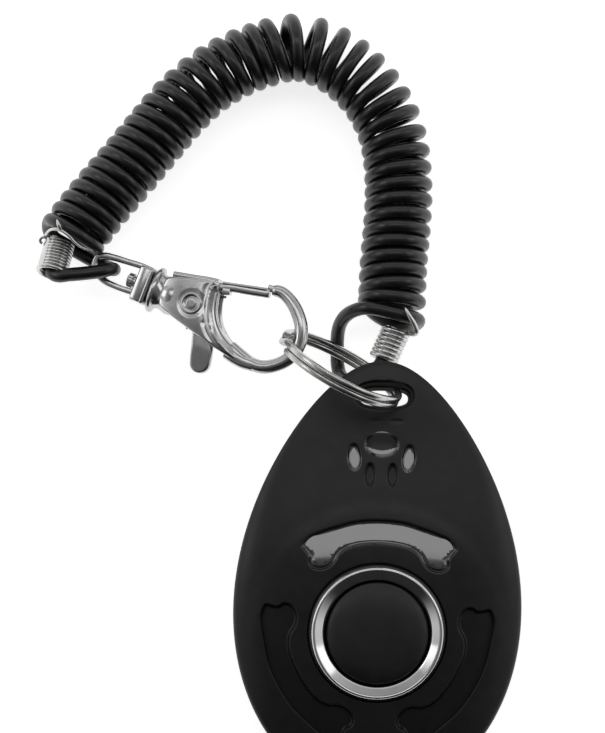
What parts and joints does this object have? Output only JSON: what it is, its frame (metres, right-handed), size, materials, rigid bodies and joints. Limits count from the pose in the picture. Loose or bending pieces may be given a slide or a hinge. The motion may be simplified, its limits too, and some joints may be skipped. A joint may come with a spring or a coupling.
{
  "type": "clicker trainer",
  "caption": "Egg-shaped training clicker with a round push button, bone-shaped recesses, and a lanyard of split ring, coiled wrist strap and swivel clasp.",
  "frame": {"origin": "on the back cover's flat rest face, under the button's axis", "axes": "+Z out of the button, +Y from the button to the lanyard hole, +X to the right seen from the button side"},
  "size_m": [0.0728, 0.116, 0.0223],
  "materials": {
    "case_plastic": "satin black moulded plastic",
    "button_plastic": "fine satin black",
    "bezel_chrome": "bright chrome plating",
    "spring_steel": "bright rolled",
    "screw_steel": "zinc plated",
    "ring_nickel": "nickel plated",
    "strap_pu": "smooth, softly glossy polyurethane",
    "crimp_wire": "tinned wire",
    "clasp_zinc": "nickel plated die casting"
  },
  "bodies": {
    "case": {"front_cover": "case_plastic", "back_cover": "case_plastic", "button_ring": "bezel_chrome", "plate_screw": "screw_steel", "case_screw_1": "screw_steel", "case_screw_2": "screw_steel", "case_screw_3": "screw_steel"},
    "button": {"button": "button_plastic"},
    "snap_plate": {"click_plate": "spring_steel"},
    "ring": {"split_ring": "ring_nickel"},
    "strap": {"strap_coil": "strap_pu", "strap_loop_right": "strap_pu", "strap_loop_left": "strap_pu", "crimp_right": "crimp_wire", "crimp_left": "crimp_wire"},
    "eye": {"swivel_eye": "clasp_zinc"},
    "clasp": {"clasp_body": "clasp_zinc", "gate_rivet": "clasp_zinc", "gate_spring": "spring_steel"},
    "gate": {"clasp_gate": "clasp_zinc"}
  },
  "joints": [
    {"name": "button_press", "type": "slide", "parent": "case", "child": "button", "axis": [0, 0, -1], "range_m": [0, 0.0013], "stiffness_N_per_m": 900, "springref_m": -0.0006},
    {"name": "plate_flex", "type": "hinge", "parent": "case", "child": "snap_plate", "pos_m": [0, 0.013, 0.0065], "axis": [1, 0, 0], "range_deg": [0, 5.8]},
    {"name": "ring_swing", "type": "hinge", "parent": "case", "child": "ring", "pos_m": [0.00147, 0.03535, 0.009], "axis": [0, 0, 1], "range_deg": [-32, 32]},
    {"name": "strap_swing", "type": "hinge", "parent": "ring", "child": "strap", "pos_m": [-0.00321, 0.03853, 0.005], "axis": [0, 0, 1], "range_deg": [-8, 8]},
    {"name": "eye_swing", "type": "hinge", "parent": "strap", "child": "eye", "pos_m": [-0.04068, 0.05235, 0.0045], "axis": [0, 0, 1], "range_deg": [-4.2, 4.2]},
    {"name": "clasp_swivel", "type": "hinge", "parent": "eye", "child": "clasp", "pos_m": [-0.02822, 0.04758, 0.008], "axis": [0.9183, -0.3257, 0.2249], "range_deg": [-28, 28]},
    {"name": "gate_trigger", "type": "hinge", "parent": "clasp", "child": "gate", "pos_m": [-0.02822, 0.04758, 0.008], "axis": [0.2133, -0.0714, -0.9744], "range_deg": [0, 30], "stiffness_Nm_per_rad": 0.02, "springref_deg": -17.19}
  ],
  "couplings": [
    {"joint": "plate_flex", "follows": "button_press", "rad_per_m": 76.66},
    {"joint": "eye_swing", "follows": "strap_swing", "ratio": 0.5}
  ]
}
